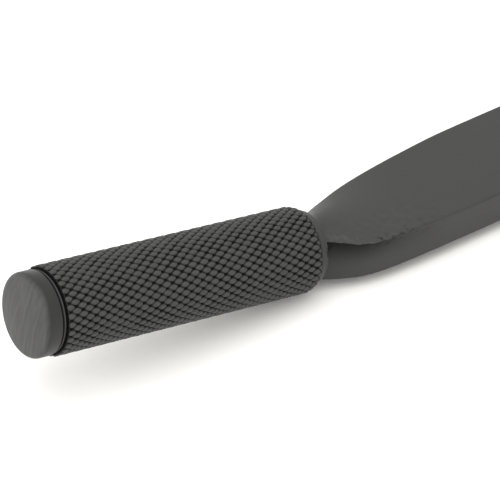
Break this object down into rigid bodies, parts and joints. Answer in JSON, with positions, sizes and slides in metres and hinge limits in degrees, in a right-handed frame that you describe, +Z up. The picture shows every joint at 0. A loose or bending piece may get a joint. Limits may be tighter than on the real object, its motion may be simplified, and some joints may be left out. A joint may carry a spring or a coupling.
{
  "type": "clay shaper",
  "caption": "Hand tool for shaping clay: a flat forged blade, cranked from a round knurled grip with a screwed end cap.",
  "frame": {"origin": "middle of the base of the bounding box, on the floor that the tool lies on", "axes": "+X from the grip towards the blade's tip, +Y across the blade to the left seen from the grip's end, +Z up"},
  "size_m": [0.151, 0.015, 0.0215],
  "materials": {
    "forged_black": "black satin coating over forged steel, faint hammer texture",
    "turned_black": "black satin coating over turned steel",
    "knurled_black": "black matt coating over diamond-knurled steel",
    "cap_black": "black satin coating over turned steel, fine orange peel",
    "plain_steel": "oiled, machined steel",
    "seal_rubber": "black rubber"
  },
  "bodies": {
    "tool": {"blade": "forged_black", "front_collar": "turned_black", "grip_sleeve": "knurled_black", "drive_key": "plain_steel", "clamp_washer": "plain_steel", "ring_nut": "plain_steel"},
    "seal": {"cap_seal": "seal_rubber"},
    "cap": {"end_cap": "cap_black"}
  },
  "joints": [
    {"name": "seal_travel", "type": "slide", "parent": "tool", "child": "seal", "axis": [-0.9711, 0, 0.2387], "range_m": [0, 0.0052]},
    {"name": "cap_turn", "type": "hinge", "parent": "seal", "child": "cap", "pos_m": [-0.07204, 0, 0.01557], "axis": [-0.9711, 0, 0.2387], "range_deg": [0, 2340]}
  ],
  "couplings": [
    {"joint": "seal_travel", "follows": "cap_turn", "m_per_rad": 0.00012732}
  ]
}
